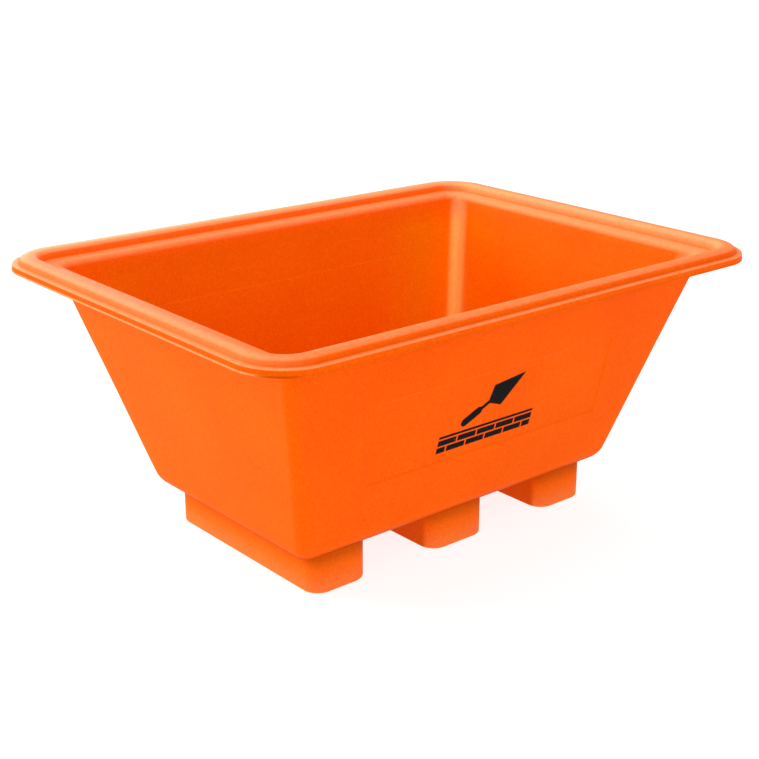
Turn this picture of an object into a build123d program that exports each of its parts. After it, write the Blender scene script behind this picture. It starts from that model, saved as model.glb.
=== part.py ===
"""Fork-liftable mortar mixing tub: a moulded basin with a rolled rim, standing on three bolted runners.

Millimetres. +X runs along the long side, +Y from front to back, +Z up.
The origin is on the ground, under the middle of the tub.
"""

import os
from math import cos, radians, sin, tan

from build123d import *

# Driving dimensions -----------------------------------------------------------------------------

LENGTH = 1200.0  # over the lip of the rim, along X
WIDTH = 900.0  # over the lip of the rim, along Y
HEIGHT = 545.0  # ground to the crest of the rim

DRAFT = 16.0  # lean of all four walls, degrees from upright
SKIN = 7.0  # wall and floor thickness of the basin
FLOOR_UNDERSIDE = 77.0  # height of the basin's underside, which is the fork pockets' height
FLOOR_EDGE_RADIUS = 45.0  # outside radius where the walls turn into the floor
FLOOR_CORNER_RADIUS = 12.0  # outside plan radius of the flat underside
LOW_CORNER_RADIUS = 26.0  # outside plan radius just above the rounded floor edge

RIM_SKIN = 6.5  # thickness of the rolled rim
LIP_CORNER_RADIUS = 100.0  # plan radius of the lip at each corner
LIP_DROP = 25.0  # crest down to the lip's lower edge
FLAT_DROP = 12.0  # crest down to the lip's flat
LEDGE_DROP = 18.0  # crest down to the inner ledge
LIP_FLAT = 12.0  # width of the lip's flat, outside the crest
CREST_OUTER_INSET = 17.0  # lip edge to the crest's outer shoulder
CREST_INNER_INSET = 50.0  # lip edge to the crest's inner shoulder
LEDGE_INSET = 58.0  # lip edge to the inner ledge
WALL_TOP_INSET = 84.0  # lip edge to the outside of the wall, at the wall's top
WALL_TOP_DROP = 30.0  # crest down to the wall's top
CREST_RADIUS = 14.0
LEDGE_RADIUS = 14.0
LIP_RADIUS = 2.0
CREASE_RADIUS = 1.5

PANEL_DEPTH = 1.5  # how far each badge panel is stepped into its wall
PANEL_BOTTOM = 217.0  # height above the ground of the panel's lower edge
PANEL_TOP = 386.0  # and of its upper edge
PANEL_LEFT_BOTTOM = -284.0
PANEL_LEFT_TOP = -326.0
PANEL_RIGHT_BOTTOM = 309.0
PANEL_RIGHT_TOP = 298.0
PANEL_CORNER_RADIUS = 4.0
BACK_PANEL_RISE = 28.0  # how much higher the back wall's panel stands

RUNNER_LENGTH = 448.0
OUTER_RUNNER_WIDTH = 130.0
OUTER_RUNNER_X = 291.0  # middle of the tub to the middle of an outer runner
CENTRE_RUNNER_WIDTH = 145.0
RUNNER_SKIN = 6.0
RUNNER_CORNER_RADIUS = 34.0
RUNNER_EDGE_RADIUS = 5.0

BOLT_SPACING = 280.0  # front bolt to back bolt in each runner
BOLT_DIAMETER = 10.0
BOLT_LENGTH = 30.0
BOLT_HEAD_FLATS = 17.0
BOLT_HEAD_HEIGHT = 6.4
WASHER_DIAMETER = 24.0
WASHER_HOLE = 10.5
WASHER_THICKNESS = 2.5
WELL_DIAMETER = 36.0  # room for a socket wrench under each bolt
WELL_DEPTH = 46.0  # ground to the plate that the bolt pulls up
WELL_PLATE = 6.0
WELL_HOLE = 12.0
BOSS_DIAMETER = 44.0
INSERT_DIAMETER = 18.0
INSERT_BORE = 10.3
INSERT_LENGTH = 22.0

DECAL_THICKNESS = 0.4
DECAL_WIDTH = 240.0
DECAL_CENTRE_X = -3.0
DECAL_LINE_Z = 270.0  # height above the ground of the mark's ruled line
DECAL_LINE_WIDTH = 5.0
COURSE_SHIFTS = (0.0, 0.5)  # how far each course of bricks is shifted, in bricks
BRICKS_TO_A_ROW = 5
BRICK_HEIGHT = 12.0
BRICK_JOINT = 4.0  # gap between the mark's bricks
BLADE_LENGTH = 96.0
BLADE_WIDTH = 58.0
BLADE_SHOULDER = 24.0  # heel of the trowel's blade to its widest place
TANG_LENGTH = 16.0
TANG_WIDTH = 8.0
HANDLE_LENGTH = 52.0
HANDLE_WIDTH = 18.0
TROWEL_TILT = 30.0  # degrees up from the ruled line
TROWEL_HEEL_X = -12.0  # from the decal's centre to the heel of the blade
TROWEL_HEEL_RISE = 50.0  # from the ruled line up to the heel of the blade

# Derived places ---------------------------------------------------------------------------------

LEAN = tan(radians(DRAFT))
LEVEL_SKIN = SKIN / cos(radians(DRAFT))  # the skin's thickness measured level
WALL_TOP = HEIGHT - WALL_TOP_DROP
EDGE_TURN = 90.0 - DRAFT  # degrees that the rounded floor edge turns through
EDGE_STEPS = 6
BOSS_BOTTOM = WELL_DEPTH + WELL_PLATE
HEAD_SEAT = WELL_DEPTH - WASHER_THICKNESS
RUNNER_BLANK_HEIGHT = FLOOR_UNDERSIDE + FLOOR_EDGE_RADIUS / 2
BOLT_PLACES = [
    (x, y)
    for x in (-OUTER_RUNNER_X, 0.0, OUTER_RUNNER_X)
    for y in (-BOLT_SPACING / 2, BOLT_SPACING / 2)
]

os.makedirs("parts", exist_ok=True)


def wall_inset(height):
    """Level distance from the lip's edge in to the outside of the wall, at a height."""
    return WALL_TOP_INSET + (WALL_TOP - height) * LEAN


def wall_plane(facing, height, depth=0.0):
    """Plane on a long wall's outside, or deeper: X level, Y up the wall. Facing is -1 front, 1 back."""
    lean = radians(DRAFT)
    face = Plane(
        origin=(0, facing * (WIDTH / 2 - wall_inset(height)), height),
        x_dir=(-facing, 0, 0),
        z_dir=(0, facing * cos(lean), -sin(lean)),
    )
    return face.offset(-depth)


# The basin's outside and its hollow, as two solids ------------------------------------------------


def edge_stations(depth):
    """Height, inset and corner radius up the rounded floor edge, at a depth inside the skin."""
    radius = FLOOR_EDGE_RADIUS - depth
    floor = FLOOR_UNDERSIDE + depth
    wall_foot = wall_inset(floor) + depth / cos(radians(DRAFT))
    floor_inset = wall_foot + radius * tan(radians(EDGE_TURN / 2))
    for step in range(EDGE_STEPS + 1):
        angle = radians(EDGE_TURN * step / EDGE_STEPS)
        share = sin(angle) / sin(radians(EDGE_TURN))
        corner = FLOOR_CORNER_RADIUS + (LOW_CORNER_RADIUS - FLOOR_CORNER_RADIUS) * share - depth
        yield floor + radius * (1 - cos(angle)), floor_inset - radius * sin(angle), corner


def level_section(height, inset, corner_radius):
    """Level section of the basin at a height, inset from the lip's edge."""
    with BuildSketch(Plane.XY.offset(height)) as level:
        RectangleRounded(LENGTH - 2 * inset, WIDTH - 2 * inset, corner_radius)
    return level.sketch


def basin_solid(depth):
    """Solid bounded by the basin's outer face, or by a face at a depth inside its skin."""
    stations = [level_section(*station) for station in edge_stations(depth)]
    top_inset = WALL_TOP_INSET + depth / cos(radians(DRAFT))
    top = level_section(WALL_TOP, top_inset, LIP_CORNER_RADIUS - top_inset)
    with BuildPart() as solid:
        loft(stations)
        loft([stations[-1], top], ruled=True)
    return solid.part


basin_outside = basin_solid(0.0)
basin_hollow = basin_solid(SKIN)

# The tub: one moulded skin with bosses under its floor --------------------------------------------


def panel_outline(plane):
    """Outline of a badge panel: its slanted left side and near-upright right side."""
    up_wall = (PANEL_TOP - PANEL_BOTTOM) / cos(radians(DRAFT))
    with BuildSketch(plane) as outline:
        with BuildLine():
            FilletPolyline(
                (PANEL_LEFT_BOTTOM, 0),
                (PANEL_RIGHT_BOTTOM, 0),
                (PANEL_RIGHT_TOP, up_wall),
                (PANEL_LEFT_TOP, up_wall),
                radius=PANEL_CORNER_RADIUS,
                close=True,
            )
        make_face()
    return outline.sketch


with BuildPart() as tub_shell:
    add(basin_outside)
    with BuildSketch(Plane.XY.offset(BOSS_BOTTOM)):
        with Locations(*BOLT_PLACES):
            Circle(BOSS_DIAMETER / 2)
            Circle(INSERT_DIAMETER / 2, mode=Mode.SUBTRACT)
    extrude(amount=INSERT_LENGTH)
    with BuildSketch(Plane.XY.offset(BOSS_BOTTOM + INSERT_LENGTH)):
        with Locations(*BOLT_PLACES):
            Circle(BOSS_DIAMETER / 2)
    extrude(amount=FLOOR_UNDERSIDE + SKIN - BOSS_BOTTOM - INSERT_LENGTH)
    panels = [(-1, PANEL_BOTTOM), (1, PANEL_BOTTOM + BACK_PANEL_RISE)]
    for facing, bottom in panels:
        extrude(panel_outline(wall_plane(facing, bottom)), amount=-PANEL_DEPTH, mode=Mode.SUBTRACT)
    add(basin_hollow, mode=Mode.SUBTRACT)
    for facing, bottom in panels:
        extrude(panel_outline(wall_plane(facing, bottom, PANEL_DEPTH)), amount=-SKIN)

    rim_path = level_section(HEIGHT, 0.0, LIP_CORNER_RADIUS).wire()
    with BuildSketch(Plane(origin=(0, -WIDTH / 2, HEIGHT), x_dir=(0, 1, 0), z_dir=(1, 0, 0))):
        with BuildLine():
            under_flat = -FLAT_DROP - RIM_SKIN
            under_ledge = -LEDGE_DROP - RIM_SKIN
            FilletPolyline(
                (0, -LIP_DROP),
                (0, -FLAT_DROP),
                (LIP_FLAT, -FLAT_DROP),
                (CREST_OUTER_INSET, 0),
                (CREST_INNER_INSET, 0),
                (LEDGE_INSET, -LEDGE_DROP),
                (WALL_TOP_INSET + LEVEL_SKIN - (WALL_TOP_DROP - LEDGE_DROP) * LEAN, -LEDGE_DROP),
                (WALL_TOP_INSET + LEVEL_SKIN, -WALL_TOP_DROP),
                (WALL_TOP_INSET, -WALL_TOP_DROP),
                (WALL_TOP_INSET - (WALL_TOP_DROP + under_ledge) * LEAN, under_ledge),
                (LEDGE_INSET - RIM_SKIN, under_ledge),
                (CREST_INNER_INSET - RIM_SKIN, -RIM_SKIN),
                (CREST_OUTER_INSET + RIM_SKIN, -RIM_SKIN),
                (LIP_FLAT + RIM_SKIN, under_flat),
                (RIM_SKIN, under_flat),
                (RIM_SKIN, -LIP_DROP),
                radius=[
                    LIP_RADIUS,
                    LIP_RADIUS,
                    CREASE_RADIUS,
                    CREST_RADIUS,
                    CREST_RADIUS,
                    CREASE_RADIUS,
                    LEDGE_RADIUS,
                    0,
                    0,
                    CREASE_RADIUS,
                    CREASE_RADIUS,
                    CREST_RADIUS - RIM_SKIN,
                    CREST_RADIUS - RIM_SKIN,
                    CREASE_RADIUS,
                    CREASE_RADIUS,
                    LIP_RADIUS,
                ],
                close=True,
            )
        make_face()
    sweep(path=rim_path)

# The runners: open-topped troughs, closed by the tub's floor --------------------------------------


def runner(centre_x, width):
    """Hollow skid under the floor, with a well for each bolt and a saddle for the rounded floor edge."""
    places = [place for place in BOLT_PLACES if place[0] == centre_x]
    with BuildPart() as skid:
        with BuildSketch():
            with Locations((centre_x, 0)):
                RectangleRounded(width, RUNNER_LENGTH, RUNNER_CORNER_RADIUS)
        extrude(amount=RUNNER_BLANK_HEIGHT)
        fillet(skid.edges().group_by(Axis.Z)[0], RUNNER_EDGE_RADIUS)
        with BuildSketch(Plane.XY.offset(RUNNER_SKIN)):
            with Locations((centre_x, 0)):
                RectangleRounded(
                    width - 2 * RUNNER_SKIN,
                    RUNNER_LENGTH - 2 * RUNNER_SKIN,
                    RUNNER_CORNER_RADIUS - RUNNER_SKIN,
                )
        extrude(amount=RUNNER_BLANK_HEIGHT, mode=Mode.SUBTRACT)
        with BuildSketch():
            with Locations(*places):
                Circle(WELL_DIAMETER / 2 + RUNNER_SKIN)
        extrude(amount=BOSS_BOTTOM)
        with BuildSketch():
            with Locations(*places):
                Circle(WELL_DIAMETER / 2)
        extrude(amount=WELL_DEPTH, mode=Mode.SUBTRACT)
        with BuildSketch():
            with Locations(*places):
                Circle(WELL_HOLE / 2)
        extrude(amount=BOSS_BOTTOM, mode=Mode.SUBTRACT)
        add(basin_outside, mode=Mode.SUBTRACT)
    return skid.part


runners = {
    "runner_left": runner(-OUTER_RUNNER_X, OUTER_RUNNER_WIDTH),
    "runner_centre": runner(0.0, CENTRE_RUNNER_WIDTH),
    "runner_right": runner(OUTER_RUNNER_X, OUTER_RUNNER_WIDTH),
}

# The fixings that pull the runners up against the floor -------------------------------------------

with BuildPart() as floor_inserts:
    with BuildSketch(Plane.XY.offset(BOSS_BOTTOM)):
        with Locations(*BOLT_PLACES):
            Circle(INSERT_DIAMETER / 2)
            Circle(INSERT_BORE / 2, mode=Mode.SUBTRACT)
    extrude(amount=INSERT_LENGTH)

with BuildPart() as bolt_washers:
    with BuildSketch(Plane.XY.offset(HEAD_SEAT)):
        with Locations(*BOLT_PLACES):
            Circle(WASHER_DIAMETER / 2)
            Circle(WASHER_HOLE / 2, mode=Mode.SUBTRACT)
    extrude(amount=WASHER_THICKNESS)

with BuildPart() as runner_bolts:
    with BuildSketch(Plane.XY.offset(HEAD_SEAT)):
        with Locations(*BOLT_PLACES):
            RegularPolygon(BOLT_HEAD_FLATS / 2, 6, major_radius=False)
    extrude(amount=-BOLT_HEAD_HEIGHT)
    with BuildSketch(Plane.XY.offset(HEAD_SEAT)):
        with Locations(*BOLT_PLACES):
            Circle(BOLT_DIAMETER / 2)
    extrude(amount=BOLT_LENGTH)

# The printed mark: a trowel over a ruled line and two courses of bricks ---------------------------


def brick_spans(shift):
    """Start and stop of each brick in a course, which is shifted left by a share of a brick."""
    pitch = (DECAL_WIDTH + BRICK_JOINT) / BRICKS_TO_A_ROW
    places = [(n - shift) * pitch for n in range(BRICKS_TO_A_ROW + 1)]
    spans = [(max(place, 0.0), min(place + pitch - BRICK_JOINT, DECAL_WIDTH)) for place in places]
    return [(start, stop) for start, stop in spans if start < stop]


with BuildPart() as front_decal:
    with BuildSketch(wall_plane(-1, DECAL_LINE_Z, PANEL_DEPTH)):
        with Locations((DECAL_CENTRE_X, 0)):
            Rectangle(DECAL_WIDTH, DECAL_LINE_WIDTH)
        for row, shift in enumerate(COURSE_SHIFTS):
            middle = -DECAL_LINE_WIDTH / 2 - (row + 1) * BRICK_JOINT - (row + 0.5) * BRICK_HEIGHT
            for start, stop in brick_spans(shift):
                with Locations((DECAL_CENTRE_X + (start + stop - DECAL_WIDTH) / 2, middle)):
                    Rectangle(stop - start, BRICK_HEIGHT)
        heel = Location((DECAL_CENTRE_X + TROWEL_HEEL_X, TROWEL_HEEL_RISE), TROWEL_TILT)
        with Locations(heel):
            Polygon(
                (0, 0),
                (BLADE_SHOULDER, BLADE_WIDTH / 2),
                (BLADE_LENGTH, 0),
                (BLADE_SHOULDER, -BLADE_WIDTH / 2),
                align=None,
            )
        with Locations(heel * Location((-TANG_LENGTH / 2, 0))):
            Rectangle(TANG_LENGTH + BLADE_SHOULDER, TANG_WIDTH)
        with Locations(heel * Location((-TANG_LENGTH - HANDLE_LENGTH / 2, 0))):
            SlotOverall(HANDLE_LENGTH, HANDLE_WIDTH)
    extrude(amount=DECAL_THICKNESS)

# Labels and files -------------------------------------------------------------------------------

pieces = {
    "tub_shell": tub_shell.part,
    **runners,
    "floor_inserts": floor_inserts.part,
    "bolt_washers": bolt_washers.part,
    "runner_bolts": runner_bolts.part,
    "front_decal": front_decal.part,
}
for name, piece in pieces.items():
    piece.label = name
    export_step(piece, f"parts/{name}.step")
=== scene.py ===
"""Studio picture of an orange fork-liftable mortar tub: one moulded skin standing on three runners."""

from math import cos, hypot, pi, radians, sin, sqrt, tan

import bmesh
import bpy
from mathutils import Matrix, Vector, noise


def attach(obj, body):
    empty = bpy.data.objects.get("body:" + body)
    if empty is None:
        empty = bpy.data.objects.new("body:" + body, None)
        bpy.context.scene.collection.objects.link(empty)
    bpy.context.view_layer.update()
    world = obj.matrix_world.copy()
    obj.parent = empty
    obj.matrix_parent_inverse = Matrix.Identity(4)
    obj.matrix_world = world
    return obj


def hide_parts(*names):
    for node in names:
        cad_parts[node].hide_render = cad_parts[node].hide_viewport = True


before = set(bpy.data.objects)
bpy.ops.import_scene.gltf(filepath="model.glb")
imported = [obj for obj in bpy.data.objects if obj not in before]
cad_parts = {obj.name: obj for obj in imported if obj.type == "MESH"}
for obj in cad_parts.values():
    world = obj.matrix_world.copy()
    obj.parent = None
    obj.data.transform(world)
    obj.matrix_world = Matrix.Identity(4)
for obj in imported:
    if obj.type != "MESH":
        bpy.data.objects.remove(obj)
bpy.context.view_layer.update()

MM = 0.001

# Sizes repeated from the design, in millimetres -------------------------------------------------

LENGTH = 1200.0
WIDTH = 900.0
HEIGHT = 545.0
DRAFT = 16.0
SKIN = 7.0
FLOOR_UNDERSIDE = 77.0
FLOOR_EDGE_RADIUS = 45.0
FLOOR_CORNER_RADIUS = 12.0
LOW_CORNER_RADIUS = 26.0
RIM_SKIN = 6.5
INNER_CORNER_RADIUS = 24.0  # the basin's inside upright corners, at their top
LIP_CORNER_RADIUS = 100.0
LIP_DROP = 25.0
FLAT_DROP = 12.0
LEDGE_DROP = 18.0
LIP_FLAT = 12.0
CREST_OUTER_INSET = 17.0
CREST_INNER_INSET = 50.0
LEDGE_INSET = 58.0
WALL_TOP_INSET = 84.0
WALL_TOP_DROP = 30.0
PANEL_DEPTH = 1.5
INNER_STEP = 0.4  # how much of a panel's step shows on the inner face
PANEL_BOTTOM = 217.0
PANEL_TOP = 386.0
PANEL_LEFT = (-284.0, -326.0)  # X at the panel's bottom and top
PANEL_RIGHT = (309.0, 298.0)
PANEL_CORNER_RADIUS = 4.0
BACK_PANEL_RISE = 28.0
RUNNER_LENGTH = 448.0
OUTER_RUNNER_WIDTH = 130.0
OUTER_RUNNER_X = 291.0
CENTRE_RUNNER_WIDTH = 145.0
RUNNER_SKIN = 6.0
RUNNER_CORNER_RADIUS = 34.0
RUNNER_EDGE_RADIUS = 5.0
BOLT_SPACING = 280.0
WELL_DIAMETER = 36.0
WELL_DEPTH = 46.0
WELL_PLATE = 6.0
WELL_HOLE = 12.0
BOSS_DIAMETER = 44.0
INSERT_DIAMETER = 18.0

LEAN = tan(radians(DRAFT))
LEVEL_SKIN = SKIN / cos(radians(DRAFT))
WALL_TOP = HEIGHT - WALL_TOP_DROP
EDGE_TURN = radians(90.0 - DRAFT)
BOSS_BOTTOM = WELL_DEPTH + WELL_PLATE

# Mesh density -----------------------------------------------------------------------------------

CORNER_CELLS = 20
END_CELLS = 9  # between a panel and the corner, along a long wall
PANEL_CELLS = 44
SHORT_WALL_CELLS = 44
EDGE_CELLS = 10  # up the rounded floor edge
ROW_PITCH = 18.0  # most that two rows of points on a wall are apart
STEP_HALF = 1.2  # half the width of the slope round a panel
STEP_LINES = (-2.6, -STEP_HALF, 0.0, STEP_HALF, 2.6, 4.2)  # points across it, going into the panel
LONG_SIDE_CELLS = 2 * (END_CELLS + len(STEP_LINES) - 1) + PANEL_CELLS
MERGE_DISTANCE = 0.00001  # metres
LEVEL_TOLERANCE = 0.00002
FACE_WEIGHT = 80  # how much a face's size counts when the shading is averaged


def smooth(value):
    """Smooth step from 0 to 1."""
    value = min(max(value, 0.0), 1.0)
    return value * value * (3.0 - 2.0 * value)


def rise(value, start, stop):
    """Smooth step from 0 at start to 1 at stop, which may be the lower of the two."""
    return smooth((value - start) / (stop - start))


def spread(start, stop, cells):
    """Evenly spaced values from start up to, but without, stop."""
    return [start + (stop - start) * n / cells for n in range(cells)]


def wall_inset(height):
    """Level distance from the lip's edge in to the outside of the wall, at a height."""
    return WALL_TOP_INSET + (WALL_TOP - height) * LEAN


def panel_side(ends, height):
    """X of a panel's slanted side at a height, carried on above and below the panel."""
    return ends[0] + (ends[1] - ends[0]) * (height - PANEL_BOTTOM) / (PANEL_TOP - PANEL_BOTTOM)


def long_side_columns(reach, height):
    """X of the columns of points along a long wall, which follow the sides of its panel."""
    left = [panel_side(PANEL_LEFT, height) + line for line in STEP_LINES]
    right = [panel_side(PANEL_RIGHT, height) - line for line in reversed(STEP_LINES)]
    columns = spread(-reach, left[0], END_CELLS) + left[:-1]
    columns += spread(left[-1], right[0], PANEL_CELLS) + right[:-1]
    return columns + spread(right[-1], reach, END_CELLS) + [reach]


def arc(centre_x, centre_y, radius, start, cells):
    """Points inside a quarter turn, without its two ends."""
    turns = [start + pi / 2 * n / cells for n in range(1, cells)]
    return [(centre_x + radius * cos(turn), centre_y + radius * sin(turn)) for turn in turns]


def rounded_ring(half_x, half_y, radius, front, back, side, corner_cells):
    """Pairs round a rectangle with round corners, anticlockwise seen from above, from its front left.

    Front and back are places along the long sides, and side is places along the short ones, each as
    seen by someone who walks round the ring.
    """
    reach_x, reach_y = half_x - radius, half_y - radius
    points = [(x, -half_y) for x in front]
    points += arc(reach_x, -reach_y, radius, -pi / 2, corner_cells)
    points += [(half_x, y) for y in side]
    points += arc(reach_x, reach_y, radius, 0.0, corner_cells)
    points += [(-x, half_y) for x in back]
    points += arc(-reach_x, reach_y, radius, pi / 2, corner_cells)
    points += [(-half_x, -y) for y in side]
    points += arc(-reach_x, -reach_y, radius, pi, corner_cells)
    return points


def tub_ring(inset, height, radius):
    """Level ring of points round the tub, at an inset from the lip's edge."""
    half_x, half_y = LENGTH / 2 - inset, WIDTH / 2 - inset
    reach_x, reach_y = half_x - radius, half_y - radius
    front = long_side_columns(reach_x, height)
    back = long_side_columns(reach_x, height - BACK_PANEL_RISE)
    side = spread(-reach_y, reach_y, SHORT_WALL_CELLS) + [reach_y]
    ring = rounded_ring(half_x, half_y, radius, front, back, side, CORNER_CELLS)
    return [Vector((x, y, height)) for x, y in ring]


# Unevenness of a moulded skin -------------------------------------------------------------------

WALL_WAVE = (210.0, 0.9)  # length and depth
RIM_SIDE_WAVE = (260.0, 0.7)
RIM_LIFT_WAVE = (320.0, 0.9)
RIM_LIFT_SHIFT = Vector((500.0, 0.0, 0.0))  # so the up and down waves differ from the sideways ones
RIM_SIDE_INSETS = (58.5, 18.5)  # from no waves to full waves, going out along the rim's profile
RIM_LIFT_INSETS = (80.0, 20.0)
PRINT_X, PRINT_HEIGHT = -3.0, 300.0  # middle of the print, under which the front wall has no waves
PRINT_HALF_WIDTH, PRINT_HALF_HEIGHT = 130.0, 85.0
PRINT_SURROUND = 60.0  # how far from the print the waves are full again


def panel_sink(point):
    """How deep the badge panel steps the skin in, at a point on the front or back wall."""
    x, height = (point.x, point.z) if point.y < 0 else (-point.x, point.z - BACK_PANEL_RISE)
    across = min(x - panel_side(PANEL_LEFT, height), panel_side(PANEL_RIGHT, height) - x)
    up = min(height - PANEL_BOTTOM, PANEL_TOP - height) / cos(radians(DRAFT))
    if across < PANEL_CORNER_RADIUS and up < PANEL_CORNER_RADIUS:
        corner = hypot(PANEL_CORNER_RADIUS - across, PANEL_CORNER_RADIUS - up)
        depth_in = PANEL_CORNER_RADIUS - corner
    else:
        depth_in = min(across, up)
    return PANEL_DEPTH * smooth((depth_in + STEP_HALF) / (2 * STEP_HALF))


def wave(point, length, depth):
    """Slow waviness of about that length and depth."""
    return depth * noise.noise(point / length)


def settle_wall(point, inward):
    """Moves a wall point in or out by the slow waves of a cooled moulding."""
    beside = max(abs(point.x - PRINT_X) - PRINT_HALF_WIDTH, 0.0)
    above = max(abs(point.z - PRINT_HEIGHT) - PRINT_HALF_HEIGHT, 0.0)
    off_print = smooth(hypot(beside, above) / PRINT_SURROUND)
    return point + inward * wave(point, *WALL_WAVE) * (off_print if point.y < 0 else 1.0)


def mesh_object(name, points, faces, attributes):
    """Piece from points in millimetres, its faces, and named values at each point."""
    mesh = bpy.data.meshes.new(name)
    mesh.from_pydata([point * MM for point in points], [], faces)
    for key, values in attributes.items():
        layer = mesh.attributes.new(key, "FLOAT", "POINT")
        layer.data.foreach_set("value", values)
    work = bmesh.new()
    work.from_mesh(mesh)
    bmesh.ops.remove_doubles(work, verts=work.verts, dist=MERGE_DISTANCE)
    bmesh.ops.recalc_face_normals(work, faces=work.faces)
    work.to_mesh(mesh)
    work.free()
    mesh.shade_smooth()
    piece = bpy.data.objects.new(name, mesh)
    bpy.context.collection.objects.link(piece)
    return piece


def weigh_normals(piece):
    """Lets broad faces set the shading, so that narrow bends don't tint them."""
    modifier = piece.modifiers.new("weighted_normals", "WEIGHTED_NORMAL")
    modifier.weight = FACE_WEIGHT
    modifier.keep_sharp = True


# The tub's skin ---------------------------------------------------------------------------------

FULL_SIDE = 0.999  # a point whose outward direction is this near an axis is on a flat wall
BOSS_EDGE = 0.8
BOSS_FLARE = 2.0  # where a boss meets the floor
BOSS_ROOT = 1.0  # how far a boss goes into the floor
BOSS_SECTION = [  # radius and height, from the insert's hole round the outside
    (INSERT_DIAMETER / 2, BOSS_BOTTOM),
    (BOSS_DIAMETER / 2 - BOSS_EDGE, BOSS_BOTTOM),
    (BOSS_DIAMETER / 2, BOSS_BOTTOM + BOSS_EDGE),
    (BOSS_DIAMETER / 2, FLOOR_UNDERSIDE - BOSS_FLARE),
    (BOSS_DIAMETER / 2 + 0.3 * BOSS_FLARE, FLOOR_UNDERSIDE - 0.3 * BOSS_FLARE),
    (BOSS_DIAMETER / 2 + BOSS_FLARE, FLOOR_UNDERSIDE + BOSS_ROOT),
    (INSERT_DIAMETER / 2, FLOOR_UNDERSIDE + BOSS_ROOT),
]


def edge_stations(depth):
    """Inset, height and corner radius up the rounded floor edge, at a depth inside the skin."""
    radius = FLOOR_EDGE_RADIUS - depth
    floor = FLOOR_UNDERSIDE + depth
    wall_foot = wall_inset(floor) + depth / cos(radians(DRAFT))
    floor_inset = wall_foot + radius * tan(EDGE_TURN / 2)
    for step in range(EDGE_CELLS + 1):
        turn = EDGE_TURN * step / EDGE_CELLS
        share = sin(turn) / sin(EDGE_TURN)
        corner = FLOOR_CORNER_RADIUS + (LOW_CORNER_RADIUS - FLOOR_CORNER_RADIUS) * share - depth
        yield floor_inset - radius * sin(turn), floor + radius * (1 - cos(turn)), corner


def wall_heights(foot):
    """Heights of the rows of points up a wall, close together at the panels' edges."""
    steps = []
    for lift in (0.0, BACK_PANEL_RISE):
        steps += [PANEL_BOTTOM + lift + line for line in STEP_LINES]
        steps += [PANEL_TOP + lift - line for line in STEP_LINES]
    levels = [foot] + sorted(steps) + [WALL_TOP]
    heights = []
    for low, high in zip(levels, levels[1:]):
        heights += spread(low, high, int((high - low) / ROW_PITCH) + 1)
    return heights[1:]


def wall_stations(depth):
    """Inset, height and corner radius of the rows up a wall, above the rounded floor edge."""
    foot_inset, foot, foot_radius = list(edge_stations(depth))[-1]
    top_inset = WALL_TOP_INSET + depth / cos(radians(DRAFT))
    top_radius = INNER_CORNER_RADIUS if depth > 0.0 else LIP_CORNER_RADIUS - top_inset
    for height in wall_heights(foot):
        share = (height - foot) / (WALL_TOP - foot)
        radius = foot_radius + (top_radius - foot_radius) * share
        yield foot_inset + (top_inset - foot_inset) * share, height, radius


def bent_line(corners, cells):
    """Rounds the corners (inset, drop, radius) of an open line; every bend gets that many cells."""
    points = [Vector(corners[0][:2])]
    for before, here, after in zip(corners, corners[1:], corners[2:]):
        corner, radius = Vector(here[:2]), here[2]
        back, on = Vector(before[:2]) - corner, Vector(after[:2]) - corner
        half = back.angle(on) / 2
        reach = radius / tan(half)
        centre = corner + (back.normalized() + on.normalized()).normalized() * radius / sin(half)
        start, stop = corner + back.normalized() * reach - centre, corner + on.normalized() * reach - centre
        turn = pi - 2 * half
        for cell in range(cells + 1):
            share = cell / cells
            mix = (start * sin((1 - share) * turn) + stop * sin(share * turn)) / sin(turn)
            points.append(centre + mix)
    points.append(Vector(corners[-1][:2]))
    return points


UNDER_FLAT = -FLAT_DROP - RIM_SKIN
UNDER_LEDGE = -LEDGE_DROP - RIM_SKIN
RIM_LINE = [
    (WALL_TOP_INSET + LEVEL_SKIN, -WALL_TOP_DROP, 0.0),
    (WALL_TOP_INSET + LEVEL_SKIN - (WALL_TOP_DROP - LEDGE_DROP) * LEAN, -LEDGE_DROP, 14.0),
    (LEDGE_INSET, -LEDGE_DROP, 6.0),
    (CREST_INNER_INSET - 0.8, -1.6, 13.0),
    ((CREST_OUTER_INSET + CREST_INNER_INSET) / 2, 1.1, 48.0),
    (CREST_OUTER_INSET + 0.7, -1.6, 7.0),
    (LIP_FLAT, -FLAT_DROP, 2.2),
    (1.0, -FLAT_DROP, 2.4),
    (1.4, -LIP_DROP + 5.0, 3.0),
    (0.0, -LIP_DROP + 3.2, 0.9),
    (0.0, -LIP_DROP, 1.2),
    (RIM_SKIN, -LIP_DROP, 2.0),
    (RIM_SKIN, UNDER_FLAT, 1.5),
    (LIP_FLAT + RIM_SKIN, UNDER_FLAT, 1.5),
    (CREST_OUTER_INSET + RIM_SKIN, -RIM_SKIN, 7.5),
    (CREST_INNER_INSET - RIM_SKIN, -RIM_SKIN, 7.5),
    (LEDGE_INSET - RIM_SKIN, UNDER_LEDGE, 1.5),
    (WALL_TOP_INSET - (WALL_TOP_DROP + UNDER_LEDGE) * LEAN, UNDER_LEDGE, 1.5),
    (WALL_TOP_INSET, -WALL_TOP_DROP, 0.0),
]
RIM_CELLS = 4


def rim_stations():
    """Inset, height and corner radius over the rim, from the inner wall's top to the outer wall's top."""
    basin_side = True
    for inset, drop in bent_line(RIM_LINE, RIM_CELLS):
        basin_side = basin_side and inset > LEDGE_INSET
        radius = LIP_CORNER_RADIUS - inset
        yield inset, HEIGHT + drop, max(radius, INNER_CORNER_RADIUS) if basin_side else radius


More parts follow.
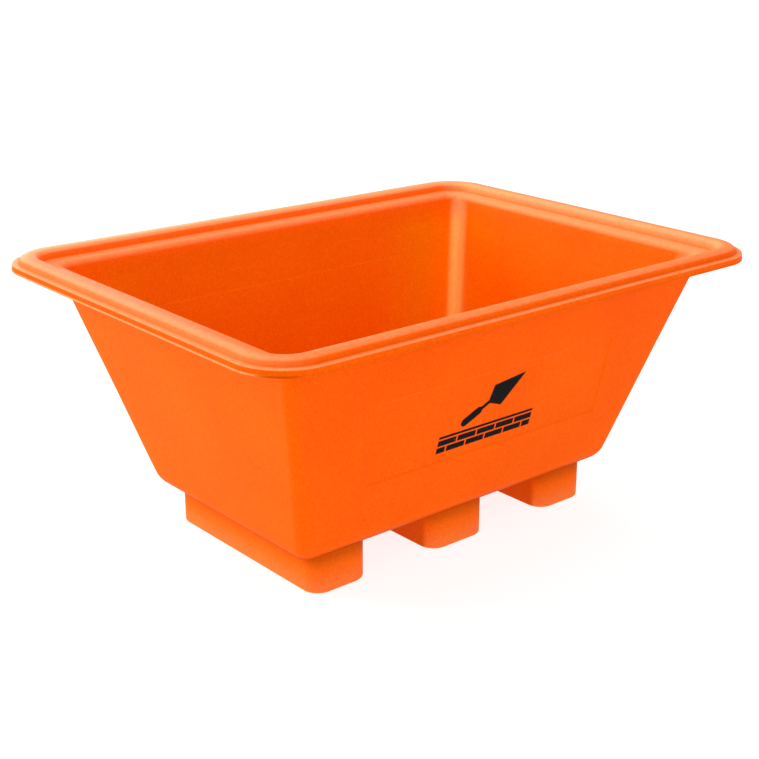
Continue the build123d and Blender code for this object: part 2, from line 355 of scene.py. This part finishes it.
def ring_faces(rings):
    """Quads between each ring and the next; all rings have the same number of points."""
    count = len(rings[0])
    faces = []
    for row in range(len(rings) - 1):
        low, high = row * count, (row + 1) * count
        faces += [(low + n, low + (n + 1) % count, high + (n + 1) % count, high + n) for n in range(count)]
    return faces


def cap(ring, start, points):
    """Fills a ring of the tub with a grid of quads, adding the points inside it; returns the faces."""
    along = LONG_SIDE_CELLS + CORNER_CELLS
    across = SHORT_WALL_CELLS + CORNER_CELLS
    first = -CORNER_CELLS // 2
    count = len(ring)

    def edge(place):
        return (first + place) % count

    front = [edge(n) for n in range(along + 1)]
    right = [edge(along + n) for n in range(across + 1)]
    back = [edge(2 * along + across - n) for n in range(along + 1)]
    left = [edge(-n) for n in range(across + 1)]
    grid = [[start + n for n in front]]
    for row in range(1, across):
        v = row / across
        line = [start + left[row]]
        for column in range(1, along):
            u = column / along
            sides = ring[front[column]] * (1 - v) + ring[back[column]] * v
            sides = sides + ring[left[row]] * (1 - u) + ring[right[row]] * u
            ends = (ring[front[0]] * (1 - u) + ring[front[-1]] * u) * (1 - v)
            ends = ends + (ring[back[0]] * (1 - u) + ring[back[-1]] * u) * v
            line.append(len(points))
            points.append(sides - ends)
        line.append(start + right[row])
        grid.append(line)
    grid.append([start + n for n in back])
    return [
        (low[n], low[n + 1], high[n + 1], high[n])
        for low, high in zip(grid, grid[1:])
        for n in range(along)
    ]


def turned(places, centre, cells=32):
    """Closed solid of revolution about an upright axis: rings of points and their faces."""
    points, faces = [], []
    for radius, height in places:
        for n in range(cells):
            turn = 2 * pi * n / cells
            points.append(Vector((centre[0] + radius * cos(turn), centre[1] + radius * sin(turn), height)))
    for ring in range(len(places)):
        low, high = ring * cells, (ring + 1) % len(places) * cells
        faces += [(low + n, low + (n + 1) % cells, high + (n + 1) % cells, high + n) for n in range(cells)]
    return points, faces


def outward_at(point, inset, radius):
    """Level unit vector out of the tub at a point of a ring, and how far round a corner it is, 0 to 1."""
    side_x = max(abs(point.x) - (LENGTH / 2 - inset - radius), 0.0)
    side_y = max(abs(point.y) - (WIDTH / 2 - inset - radius), 0.0)
    length = hypot(side_x, side_y) or 1.0
    turn = 2.0 * side_x * side_y / length**2
    x_sign = 1 if point.x > 0 else -1
    y_sign = 1 if point.y > 0 else -1
    return Vector((x_sign * side_x / length, y_sign * side_y / length, 0.0)), turn


# What each point of the tub is marked with, from 0 to 1, for its material ------------------------

MARKS = ("painted_highlight", "wear_and_glint", "painted_shade", "inside", "painted_fill_light")
STREAK_FROM_CORNER = 22.0  # middle of the painted highlight streak on a short wall's inside
STREAK_HALF = 26.0
FILL_LIGHT_REACH = 260.0  # how far from an upright corner the painted fill light reaches
FILL_LIGHT_HEIGHT = 220.0  # the inside's foot gets painted fill light below this
TINT_REACH = 110.0  # the inside's painted shade is full at this distance from the short walls
FILL_RAMP_X, FILL_RAMP_Y = 300.0, 200.0  # the painted fill light grows over these, either side of the middle, to the far right


def rim_marks(inset, drop, outward, turn):
    """Painted highlight, painted glint and painted shade at a place of the rim's profile, drop below the
    crest's top.

    Outward is the side that the place is on, and turn is how far round a corner it is.
    """
    above_face = rise(drop, FLAT_DROP + 1.8, FLAT_DROP + 0.4)
    on_flat = rise(inset, LIP_FLAT + 1.0, LIP_FLAT - 2.0) * above_face
    on_slope = rise(inset, CREST_OUTER_INSET + 3.0, CREST_OUTER_INSET) * above_face - on_flat
    on_crest = rise(inset, CREST_OUTER_INSET - 2.0, CREST_OUTER_INSET + 2.0)
    on_crest *= rise(inset, CREST_INNER_INSET + 3.0, CREST_INNER_INSET - 1.0)
    on_shoulder = rise(inset, CREST_INNER_INSET - 16.0, CREST_INNER_INSET - 8.0)
    on_shoulder *= rise(inset, LEDGE_INSET + 2.0, LEDGE_INSET - 6.0)
    on_ledge = rise(inset, LEDGE_INSET, LEDGE_INSET + 4.0)
    on_ledge *= rise(drop, WALL_TOP_DROP + 1.0, WALL_TOP_DROP - 9.0)
    crest_outer_half = rise(inset, CREST_OUTER_INSET + 15.0, CREST_OUTER_INSET + 7.0)
    crest_inner_half = rise(inset, CREST_OUTER_INSET + 13.0, CREST_OUTER_INSET + 21.0)
    leftward, rightward = max(-outward.x, 0.0), max(outward.x, 0.0)
    frontward, backward = max(-outward.y, 0.0), max(outward.y, 0.0)

    # painted highlight: rim faces turned towards the lights, drawn paler side by side
    painted_highlight = on_flat * (0.30 + 0.30 * leftward + 0.20 * frontward + 0.15 * backward)
    painted_highlight += on_slope * 0.25 * leftward
    painted_highlight += on_crest * (0.45 * leftward * crest_outer_half + 0.25 * rightward + 0.85 * backward)
    painted_highlight += on_shoulder * 0.75 * rightward
    painted_highlight += on_ledge * (0.65 * rightward + 0.45 * backward)

    # painted glint: the lip's lower bead drawn pale where it faces left
    on_bead = inset < 0.7 and drop > LIP_DROP - 5.0
    wear_and_glint = rise(leftward, 0.75, 0.95) if on_bead else 0.0

    # painted shade: a line along the lip's flat, the shadow under the lip at the near left corner, the left
    # lip's face and the crest's inner half
    painted_shade = 0.0
    if abs(inset - LIP_FLAT) < 2.0 and abs(drop - FLAT_DROP) < 1.5:
        painted_shade = 0.3
    if inset < 1.2 and drop > LIP_DROP - 3.5:
        left_front_corner = smooth(4.0 * leftward * frontward - 1.0)
        painted_shade = max(0.25 * rise(frontward, 0.8, 1.0), left_front_corner)
    if inset < 2.0 and FLAT_DROP + 1.5 < drop < LIP_DROP - 4.5:
        painted_shade = 0.35 * leftward
    if inset > CREST_OUTER_INSET:
        painted_shade = 0.5 * leftward * on_crest * crest_inner_half
    # painted shade under the rim, darkest round its corners
    underneath = rise(drop, LIP_DROP - 1.0, LIP_DROP + 1.0) * rise(inset, 1.0, 5.0)
    underneath *= rise(inset, WALL_TOP_INSET, WALL_TOP_INSET - 6.0)
    return painted_highlight, wear_and_glint, max(painted_shade, underneath * (0.25 + 0.75 * smooth(turn * 2.0)))


def corner_marks(point, inset):
    """Painted highlight and painted fill light on the basin's inside, which are most near its upright
    corners.
    """
    along_short = WIDTH / 2 - inset - abs(point.y)
    along_long = LENGTH / 2 - inset - abs(point.x)
    on_short = rise(along_long, 15.0, 5.0)
    # painted highlight: a pale streak down each upright inner corner of the basin
    painted_highlight = smooth(1.2 - abs(along_short - STREAK_FROM_CORNER) / STREAK_HALF) * on_short
    # painted fill light: greener near the upright corners and low down, more so to the far right
    near_corner = rise(max(along_short, along_long), FILL_LIGHT_REACH, 0.0)
    painted_fill_light = max(near_corner, 0.25 * on_short, 0.3 * rise(point.z, FILL_LIGHT_HEIGHT, FILL_LIGHT_HEIGHT - 120.0))
    fill_ramp = rise(point.x, -FILL_RAMP_X, FILL_RAMP_X) * rise(point.y, -FILL_RAMP_Y, FILL_RAMP_Y)
    return painted_highlight, painted_fill_light * (0.3 + 0.7 * fill_ramp)


def rim_point(point, inset, height, outward, turn):
    """Where the rim's waves move one of its points to, and the point's marks."""
    moved = point - outward * wave(point, *RIM_SIDE_WAVE) * rise(inset, *RIM_SIDE_INSETS)
    moved.z += wave(point + RIM_LIFT_SHIFT, *RIM_LIFT_WAVE) * rise(inset, *RIM_LIFT_INSETS)
    painted_highlight, wear_and_glint, painted_shade = rim_marks(inset, HEIGHT - height, outward, turn)
    basin_side = rise(inset, WALL_TOP_INSET - 8.0, WALL_TOP_INSET + 4.0)
    # painted highlight from the inner corners, carried up onto the rim
    painted_highlight = max(painted_highlight, 0.7 * corner_marks(point, inset)[0] * basin_side)
    # painted shade inside the basin, starting below the ledge
    inside = 0.5 * rise(inset, LEDGE_INSET + 12.0, LEDGE_INSET + 24.0)
    return moved, (painted_highlight, wear_and_glint, painted_shade, inside, 0.0)


def wall_point(point, inset, height, outward, inner):
    """Where the waves and the panel's step move a point of a wall or floor edge to, and its marks."""
    off_floor = rise(height, FLOOR_UNDERSIDE + 10.0, FLOOR_UNDERSIDE + 70.0)
    on_wall = off_floor * rise(height, WALL_TOP + 8.0, WALL_TOP - 52.0)
    moved = point.lerp(settle_wall(point, -outward), on_wall)
    if abs(outward.y) > FULL_SIDE:
        moved -= outward * panel_sink(point) * (INNER_STEP if inner else 1.0)
    if inner:
        # painted highlight streak and painted fill light on the basin's inside
        painted_highlight, painted_fill_light = corner_marks(point, inset)
        painted_highlight *= off_floor * (1.0 - 0.3 * rise(height, WALL_TOP - 30.0, WALL_TOP))
        painted_fill_light *= rise(height, WALL_TOP + 5.0, WALL_TOP - 65.0)
        # painted shade inside the basin, fading out towards the short walls
        inside = rise(LENGTH / 2 - inset - abs(point.x), 0.0, TINT_REACH)
        return moved, (painted_highlight, 0.0, 0.0, inside, painted_fill_light)
    # painted shade in the crease above the floor edge and under the front lip
    crease = rise(height, FLOOR_UNDERSIDE + 24.0, FLOOR_UNDERSIDE + 4.0)
    under_lip = 0.4 * max(-outward.y, 0.0) * rise(height, WALL_TOP - 45.0, WALL_TOP - 15.0)
    return moved, (0.0, 0.0, max(crease, under_lip), 0.0, 0.0)


def build_tub():
    """The whole skin, as rings up the inside, over the rim and down the outside, with the bolts' bosses."""
    inner = list(edge_stations(SKIN)) + list(wall_stations(SKIN))
    rim = list(rim_stations())
    outer = list(reversed(list(edge_stations(0.0)) + list(wall_stations(0.0))))
    rings, marks = [], []
    for part, stations in (("inner", inner), ("rim", rim), ("outer", outer)):
        for inset, height, radius in stations:
            ring = []
            for point in tub_ring(inset, height, radius):
                outward, turn = outward_at(point, inset, radius)
                if part == "rim":
                    moved, marked = rim_point(point, inset, height, outward, turn)
                else:
                    moved, marked = wall_point(point, inset, height, outward, part == "inner")
                ring.append(moved)
                marks.append(marked)
            rings.append(ring)
    points = [point for ring in rings for point in ring]
    faces = ring_faces(rings)
    faces += cap(rings[0], 0, points)
    faces += cap(rings[-1], (len(rings) - 1) * len(rings[0]), points)
    for point in points[len(marks):]:
        # painted shade on the basin's floor
        inside = 1.0 if point.z > FLOOR_UNDERSIDE + SKIN / 2 else 0.0
        marks.append((0.0, 0.0, 0.0, inside, 0.0))
    for x in (-OUTER_RUNNER_X, 0.0, OUTER_RUNNER_X):
        for y in (-BOLT_SPACING / 2, BOLT_SPACING / 2):
            extra, sides = turned(BOSS_SECTION, (x, y))
            start = len(points)
            points += extra
            faces += [tuple(start + n for n in face) for face in sides]
    marks += [(0.0,) * len(MARKS)] * (len(points) - len(marks))
    return mesh_object("tub_skin", points, faces, dict(zip(MARKS, zip(*marks))))


tub_skin = build_tub()
weigh_normals(tub_skin)
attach(tub_skin, "root")
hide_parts("tub_shell")

# The runners ------------------------------------------------------------------------------------

RUNNER_SIDE_CELLS = 24
RUNNER_END_CELLS = 8
RUNNER_CORNER_CELLS = 10
RUNNER_EDGE_CELLS = 6  # round the bottom edge
RUNNER_ROWS = 7  # up the outer face
TOP_EDGE_CELLS = 4
TOP_EDGE_RADIUS = 2.2
SCUFF_HEIGHT = 4.0  # the underside's wear reaches this far up
WELL_CELLS = 40
WELL_MOUTH = 1.2
FLOOR_INSET = wall_inset(FLOOR_UNDERSIDE) + FLOOR_EDGE_RADIUS * tan(EDGE_TURN / 2)
WELL_SECTION = [  # radius and height, from the runner's inside over the well to its mouth
    (WELL_DIAMETER / 2 + RUNNER_SKIN, RUNNER_SKIN),
    (WELL_DIAMETER / 2 + RUNNER_SKIN, BOSS_BOTTOM),
    (WELL_HOLE / 2, BOSS_BOTTOM),
    (WELL_HOLE / 2, WELL_DEPTH),
    (WELL_DIAMETER / 2, WELL_DEPTH),
    (WELL_DIAMETER / 2, WELL_MOUTH),
    (WELL_DIAMETER / 2 + WELL_MOUTH / 3, WELL_MOUTH / 3),
    (WELL_DIAMETER / 2 + WELL_MOUTH, 0.0),
]


def basin_underside(x, y):
    """Height of the basin's outside over a place near its floor."""
    over = max(FLOOR_INSET - min(LENGTH / 2 - abs(x), WIDTH / 2 - abs(y)), 0.0)
    return FLOOR_UNDERSIDE + FLOOR_EDGE_RADIUS - sqrt(FLOOR_EDGE_RADIUS**2 - over**2)


def runner_ring(centre_x, width, inset):
    """Level ring round a runner, as pairs, at an inset from its outer face."""
    half_x, half_y = width / 2 - inset, RUNNER_LENGTH / 2 - inset
    radius = RUNNER_CORNER_RADIUS - inset
    reach_x, reach_y = half_x - radius, half_y - radius
    end = spread(-reach_x, reach_x, RUNNER_END_CELLS) + [reach_x]
    side = spread(-reach_y, reach_y, RUNNER_SIDE_CELLS) + [reach_y]
    ring = rounded_ring(half_x, half_y, radius, end, end, side, RUNNER_CORNER_CELLS)
    return [(centre_x + x, y) for x, y in ring]


def build_runner(name, centre_x, width):
    """Open-topped trough with two bolt wells, saddled to the basin's underside."""
    stations = []  # inset, and the height as a share of the way up plus a fixed amount
    for n in range(RUNNER_EDGE_CELLS + 1):
        turn = pi / 2 * n / RUNNER_EDGE_CELLS
        stations.append((RUNNER_EDGE_RADIUS * (1 - sin(turn)), 0.0, RUNNER_EDGE_RADIUS * (1 - cos(turn))))
    for n in range(1, RUNNER_ROWS):
        stations.append((0.0, n / RUNNER_ROWS, RUNNER_EDGE_RADIUS * (1 - n / RUNNER_ROWS)))
    for n in range(TOP_EDGE_CELLS + 1):
        turn = pi / 2 * n / TOP_EDGE_CELLS
        stations.append((TOP_EDGE_RADIUS * (1 - cos(turn)), 1.0, TOP_EDGE_RADIUS * (sin(turn) - 1)))
    stations.append((RUNNER_SKIN, 1.0, 0.0))
    stations.append((RUNNER_SKIN, 0.5, 0.0))
    stations.append((RUNNER_SKIN, 0.0, RUNNER_SKIN))
    rings, painted_highlight, wear_and_glint, painted_shade = [], [], [], []
    for inset, share, extra in stations:
        ring = []
        for x, y in runner_ring(centre_x, width, inset):
            ring.append(Vector((x, y, basin_underside(x, y) * share + extra)))
            underneath = share == 0.0 and inset < RUNNER_SKIN
            wear_and_glint.append(max(0.0, 1.0 - extra / SCUFF_HEIGHT) if underneath else 0.0)
            by_pocket = centre_x == 0.0 or abs(x) < abs(centre_x)
            side = width / 2 - inset
            beside = rise(abs(x - centre_x), side - 3.0, side) * by_pocket
            # painted shade in the crease under the basin and on the sides that face the fork pockets
            painted_shade.append(max(0.9 * rise(share, 0.5, 0.95), 0.70 * beside))
            # painted light: each runner drawn paler towards its foot, away from the pockets
            painted_highlight.append(0.22 * rise(share, 0.6, 0.0) * (1.0 - beside))
        rings.append(ring)
    points = [point for ring in rings for point in ring]
    faces = ring_faces(rings)
    for y in (-BOLT_SPACING / 2, BOLT_SPACING / 2):
        extra, sides = turned(WELL_SECTION, (centre_x, y), WELL_CELLS)
        start = len(points)
        points += extra
        wear_and_glint += [0.0] * len(extra)
        painted_shade += [0.0] * len(extra)
        painted_highlight += [0.0] * len(extra)
        faces += [tuple(start + n for n in face) for face in sides[:-WELL_CELLS]]
    piece = mesh_object(name, points, faces, {"painted_highlight": painted_highlight, "wear_and_glint": wear_and_glint, "painted_shade": painted_shade})
    fill_flat(piece.data, 0.0)
    fill_flat(piece.data, RUNNER_SKIN)
    return piece


def fill_flat(mesh, height):
    """Fills the open edges that lie at a height, as one flat face with holes."""
    work = bmesh.new()
    work.from_mesh(mesh)
    level = height * MM
    rim = [
        edge
        for edge in work.edges
        if edge.is_boundary and all(abs(vert.co.z - level) < LEVEL_TOLERANCE for vert in edge.verts)
    ]
    bmesh.ops.triangle_fill(work, edges=rim, use_beauty=True, use_dissolve=False)
    bmesh.ops.recalc_face_normals(work, faces=work.faces)
    for face in work.faces:
        face.smooth = True
    work.to_mesh(mesh)
    work.free()


RUNNERS = (
    ("runner_left", -OUTER_RUNNER_X, OUTER_RUNNER_WIDTH),
    ("runner_centre", 0.0, CENTRE_RUNNER_WIDTH),
    ("runner_right", OUTER_RUNNER_X, OUTER_RUNNER_WIDTH),
)
runner_pieces = []
for node, centre_x, width in RUNNERS:
    piece = build_runner(node + "_skin", centre_x, width)
    weigh_normals(piece)
    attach(piece, "root")
    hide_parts(node)
    runner_pieces.append(piece)

# Materials --------------------------------------------------------------------------------------

ORANGE = (1.0, 0.135, 0.0, 1.0)
DEEP_ORANGE = (0.97, 0.120, 0.0, 1.0)
RUNNER_ORANGE = (1.0, 0.158, 0.007, 1.0)
DEEP_RUNNER_ORANGE = (0.95, 0.142, 0.004, 1.0)
PALE_ORANGE = (1.0, 0.345, 0.135, 1.0)  # worn plastic, and the colour of the painted top light, painted highlights and painted glint
LIGHT_ORANGE = (1.0, 0.30, 0.03, 1.0)  # mottling, specks and scuffs
ZINC, ZINC_STAIN = (0.60, 0.60, 0.57, 1.0), (0.42, 0.40, 0.34, 1.0)
BRASS, BRASS_STAIN = (0.78, 0.55, 0.22, 1.0), (0.45, 0.30, 0.12, 1.0)
BLACK, THIN_BLACK = (0.0015, 0.0015, 0.002, 1.0), (0.008, 0.008, 0.009, 1.0)

# Tints, which multiply the plastic's colour
INSIDE_SHADE_TINT = (0.86, 1.12, 1.0, 1.0)  # painted shade inside the basin: less red, a little greener
GRAIN_TINT = (0.96, 0.74, 0.50, 1.0)  # the grain's tops
PAINTED_FILL_TINT = (1.0, 1.70, 1.0, 1.0)  # painted fill light in the basin's corners and low down: lighter, greener
PAINTED_SHADE_TINT = (0.60, 0.58, 0.10, 1.0)  # painted shade in creases, under the rim and on the runners' shaded sides


class Nodes:
    """Short calls for building a material's node tree."""

    def __init__(self, name):
        self.material = bpy.data.materials.new(name)
        self.material.use_nodes = True
        self.tree = self.material.node_tree
        self.shader = self.tree.nodes["Principled BSDF"]
        self.place = self.add("ShaderNodeTexCoord").outputs["Object"]

    def add(self, kind, **settings):
        node = self.tree.nodes.new(kind)
        for key, value in settings.items():
            setattr(node, key, value)
        return node

    def link(self, source, target):
        if isinstance(source, (int, float, tuple)):
            target.default_value = source
        else:
            self.tree.links.new(source, target)

    def noise(self, scale, detail=2.0, roughness=0.5, offset=(0.0, 0.0, 0.0), stretch=(1.0, 1.0, 1.0)):
        """Noise from 0 to 1 with features about 1/scale metres across."""
        mapping = self.add("ShaderNodeMapping")
        mapping.inputs["Location"].default_value = offset
        mapping.inputs["Scale"].default_value = stretch
        self.link(self.place, mapping.inputs["Vector"])
        node = self.add("ShaderNodeTexNoise")
        node.inputs["Scale"].default_value = scale
        node.inputs["Detail"].default_value = detail
        node.inputs["Roughness"].default_value = roughness
        self.link(mapping.outputs["Vector"], node.inputs["Vector"])
        return node.outputs["Fac"]

    def ramp(self, value, low, high, to_low=0.0, to_high=1.0):
        """Maps low..high smoothly to to_low..to_high."""
        node = self.add("ShaderNodeMapRange", interpolation_type="SMOOTHSTEP")
        self.link(value, node.inputs["Value"])
        for key, number in (("From Min", low), ("From Max", high), ("To Min", to_low), ("To Max", to_high)):
            node.inputs[key].default_value = number
        return node.outputs["Result"]

    def maths(self, operation, first, second):
        node = self.add("ShaderNodeMath", operation=operation)
        self.link(first, node.inputs[0])
        self.link(second, node.inputs[1])
        return node.outputs["Value"]

    def mix(self, share, first, second, blend="MIX"):
        node = self.add("ShaderNodeMix", data_type="RGBA", blend_type=blend)
        self.link(share, node.inputs["Factor"])
        self.link(first, node.inputs["A"])
        self.link(second, node.inputs["B"])
        return node.outputs["Result"]

    def attribute(self, name):
        return self.add("ShaderNodeAttribute", attribute_name=name).outputs["Fac"]

    def bump(self, height, distance, strength, normal=None):
        node = self.add("ShaderNodeBump")
        node.inputs["Strength"].default_value = strength
        node.inputs["Distance"].default_value = distance
        self.link(height, node.inputs["Height"])
        if normal is not None:
            self.link(normal, node.inputs["Normal"])
        return node.outputs["Normal"]


def plastic(name, base, pale, deep):
    """Moulded polyethylene: satin, with an orange-peel grain, faint mottling, light specks, scuffs and
    wear, and with painted top light, painted highlights, painted glint, painted fill light and painted
    shade.
    """
    nodes = Nodes(name)
    clouds = nodes.noise(5.0, 3.0, 0.55)
    mottle = nodes.noise(95.0, 3.0, 0.6)
    grain = nodes.noise(300.0, 2.0, 0.6)
    specks = nodes.ramp(nodes.noise(230.0, 1.0, 0.4, offset=(3.0, 1.0, 7.0)), 0.735, 0.80)
    scuffs = nodes.ramp(nodes.noise(30.0, 6.0, 0.75, stretch=(1.0, 1.0, 5.0)), 0.60, 0.82)
    colour = nodes.mix(nodes.ramp(clouds, 0.3, 0.75), base, deep)
    colour = nodes.mix(nodes.ramp(mottle, 0.35, 0.8, 0.0, 0.05), colour, LIGHT_ORANGE)
    colour = nodes.mix(nodes.ramp(grain, 0.36, 0.64), colour, GRAIN_TINT, "MULTIPLY")
    colour = nodes.mix(nodes.maths("MULTIPLY", specks, 0.30), colour, LIGHT_ORANGE)
    normal = nodes.add("ShaderNodeSeparateXYZ")
    nodes.link(nodes.add("ShaderNodeNewGeometry").outputs["Normal"], normal.inputs["Vector"])
    upward = nodes.ramp(normal.outputs["Z"], 0.55, 0.98)
    # painted top light: faces that look up are drawn paler, except inside the basin
    painted_top_light = nodes.maths("MULTIPLY", upward, nodes.ramp(mottle, 0.2, 0.8, 0.25, 0.5))
    painted_top_light = nodes.maths("MULTIPLY", painted_top_light, nodes.maths("SUBTRACT", 1.0, nodes.attribute("inside")))
    colour = nodes.mix(painted_top_light, colour, pale)
    # painted shade inside the basin
    colour = nodes.mix(nodes.attribute("inside"), colour, INSIDE_SHADE_TINT, "MULTIPLY")
    # painted highlight, mixed towards the pale colour
    highlight_share = nodes.maths("MULTIPLY", nodes.attribute("painted_highlight"), nodes.ramp(mottle, 0.2, 0.8, 0.8, 1.1))
    colour = nodes.mix(highlight_share, colour, pale)
    # painted fill light in the basin's corners and low down
    colour = nodes.mix(nodes.attribute("painted_fill_light"), colour, PAINTED_FILL_TINT, "MULTIPLY")
    # real wear under the runners, and the painted glint on the lip's bead
    wear_and_glint_share = nodes.maths("MULTIPLY", nodes.attribute("wear_and_glint"), nodes.ramp(grain, 0.25, 0.7, 0.45, 0.95))
    colour = nodes.mix(wear_and_glint_share, colour, pale)
    colour = nodes.mix(nodes.maths("MULTIPLY", scuffs, 0.08), colour, LIGHT_ORANGE)
    # painted shade from the point marks
    colour = nodes.mix(nodes.attribute("painted_shade"), colour, PAINTED_SHADE_TINT, "MULTIPLY")
    nodes.link(colour, nodes.shader.inputs["Base Color"])
    rough = nodes.ramp(mottle, 0.3, 0.75, 0.40, 0.52)
    nodes.link(rough, nodes.shader.inputs["Roughness"])
    surface = nodes.bump(grain, 0.0004, 0.8)
    surface = nodes.bump(mottle, 0.0008, 0.5, surface)
    nodes.link(surface, nodes.shader.inputs["Normal"])
    nodes.shader.inputs["Specular IOR Level"].default_value = 0.015
    return nodes.material


def metal(name, base, stain, roughness):
    """Plated or turned metal with faint marks and stains."""
    nodes = Nodes(name)
    brushing = nodes.noise(900.0, 3.0, 0.6, stretch=(1.0, 1.0, 0.06))
    stains = nodes.ramp(nodes.noise(120.0, 4.0, 0.65), 0.48, 0.75)
    colour = nodes.mix(nodes.maths("MULTIPLY", stains, 0.5), base, stain)
    rough = nodes.ramp(brushing, 0.2, 0.8, roughness, roughness + 0.18)
    nodes.link(colour, nodes.shader.inputs["Base Color"])
    nodes.link(rough, nodes.shader.inputs["Roughness"])
    nodes.link(nodes.bump(brushing, 0.0001, 0.5), nodes.shader.inputs["Normal"])
    nodes.shader.inputs["Metallic"].default_value = 1.0
    return nodes.material


def ink(name, base, thin, under):
    """Matt black print, a little uneven, with pinholes that show the plastic."""
    nodes = Nodes(name)
    film = nodes.noise(260.0, 4.0, 0.6)
    pinholes = nodes.ramp(nodes.noise(520.0, 1.0, 0.3, offset=(5.0, 2.0, 1.0)), 0.77, 0.80)
    colour = nodes.mix(nodes.ramp(film, 0.3, 0.8, 0.0, 0.3), base, thin)
    colour = nodes.mix(nodes.maths("MULTIPLY", pinholes, 0.7), colour, under)
    nodes.link(colour, nodes.shader.inputs["Base Color"])
    nodes.link(nodes.ramp(film, 0.3, 0.7, 0.5, 0.65), nodes.shader.inputs["Roughness"])
    nodes.link(nodes.bump(film, 0.0002, 0.4), nodes.shader.inputs["Normal"])
    nodes.shader.inputs["Specular IOR Level"].default_value = 0.05
    return nodes.material


tub_plastic = plastic("tub_plastic", ORANGE, PALE_ORANGE, DEEP_ORANGE)
runner_plastic = plastic("runner_plastic", RUNNER_ORANGE, PALE_ORANGE, DEEP_RUNNER_ORANGE)
zinc = metal("zinc_plate", ZINC, ZINC_STAIN, 0.30)
brass = metal("turned_brass", BRASS, BRASS_STAIN, 0.26)
black_ink = ink("black_print", BLACK, THIN_BLACK, ORANGE)


def dress(piece, material):
    """Gives every face of a piece one material."""
    if piece.material_slots:
        for place in piece.material_slots:
            place.material = material
    else:
        piece.data.materials.append(material)


dress(tub_skin, tub_plastic)
for piece in runner_pieces:
    dress(piece, runner_plastic)
for node, material in (
    ("floor_inserts", brass),
    ("bolt_washers", zinc),
    ("runner_bolts", zinc),
    ("front_decal", black_ink),
):
    dress(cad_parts[node], material)

# Floor, light and camera ------------------------------------------------------------------------

FLOOR_HALF = 60.0  # metres
FLOOR_GREY = (0.25, 0.25, 0.25, 1.0)
FLOOR_GLOW = 0.84  # keeps the floor pale where the tub shades it
WORLD_GLOW = 0.88
WHITE = (1.0, 1.0, 1.0, 1.0)

floor_corners = [
    (-FLOOR_HALF, -FLOOR_HALF, 0),
    (FLOOR_HALF, -FLOOR_HALF, 0),
    (FLOOR_HALF, FLOOR_HALF, 0),
    (-FLOOR_HALF, FLOOR_HALF, 0),
]
floor_mesh = bpy.data.meshes.new("studio_floor")
floor_mesh.from_pydata(floor_corners, [], [(0, 1, 2, 3)])
studio_floor = bpy.data.objects.new("studio_floor", floor_mesh)
bpy.context.collection.objects.link(studio_floor)
floor_paint = bpy.data.materials.new("studio_floor")
floor_paint.use_nodes = True
floor_shader = floor_paint.node_tree.nodes["Principled BSDF"]
floor_shader.inputs["Base Color"].default_value = FLOOR_GREY
floor_shader.inputs["Emission Color"].default_value = WHITE
floor_shader.inputs["Emission Strength"].default_value = FLOOR_GLOW
floor_shader.inputs["Roughness"].default_value = 0.9
floor_shader.inputs["Specular IOR Level"].default_value = 0.0
floor_mesh.materials.append(floor_paint)

world = bpy.data.worlds.new("studio")
world.use_nodes = True
world.node_tree.nodes["Background"].inputs["Color"].default_value = WHITE
world.node_tree.nodes["Background"].inputs["Strength"].default_value = WORLD_GLOW
bpy.context.scene.world = world


def softbox(name, place, aim, width, height, power):
    """Large soft light of so many watts at a place, turned to face another, in metres."""
    light = bpy.data.lights.new(name, "AREA")
    light.shape = "RECTANGLE"
    light.size = width
    light.size_y = height
    light.energy = power
    holder = bpy.data.objects.new(name, light)
    holder.location = place
    holder.rotation_euler = (Vector(aim) - Vector(place)).to_track_quat("-Z", "Y").to_euler()
    bpy.context.collection.objects.link(holder)
    return holder


softbox("overhead", (-0.2, 0.1, 3.2), (0.0, 0.0, 0.3), 3.0, 2.6, 18.0)
softbox("back", (0.5, 3.6, 1.6), (0.0, 0.0, 0.4), 3.0, 1.6, 92.0)
softbox("back_left", (-2.6, 2.4, 1.6), (0.0, 0.0, 0.4), 2.0, 1.6, 78.0)
softbox("camera_side", (-2.2, -2.2, 1.5), (0.0, 0.0, 0.3), 1.2, 1.2, 4.0)

YAW = radians(41.778)  # from +Y towards +X
PITCH = radians(19.430)  # down from level
ROLL = radians(0.711)
CAMERA_PLACE = (-1.7356, -2.0451, 1.2231)
SENSOR = 36.0
FOCAL_LENGTH = 67.305
SIDE_SHIFT = -0.05336

ahead = Vector((sin(YAW) * cos(PITCH), cos(YAW) * cos(PITCH), -sin(PITCH)))
level_right = Vector((cos(YAW), -sin(YAW), 0.0))
level_up = level_right.cross(ahead)
right = level_right * cos(ROLL) + level_up * sin(ROLL)
up = level_up * cos(ROLL) - level_right * sin(ROLL)
lens = bpy.data.cameras.new("camera")
lens.sensor_width = SENSOR
lens.lens = FOCAL_LENGTH
lens.shift_x = SIDE_SHIFT
lens.clip_end = 200.0
camera = bpy.data.objects.new("camera", lens)
turn = Matrix((right, up, -ahead)).transposed().to_4x4()
camera.matrix_world = Matrix.Translation(CAMERA_PLACE) @ turn
bpy.context.collection.objects.link(camera)
bpy.context.scene.camera = camera
bpy.context.scene.view_settings.view_transform = "Standard"
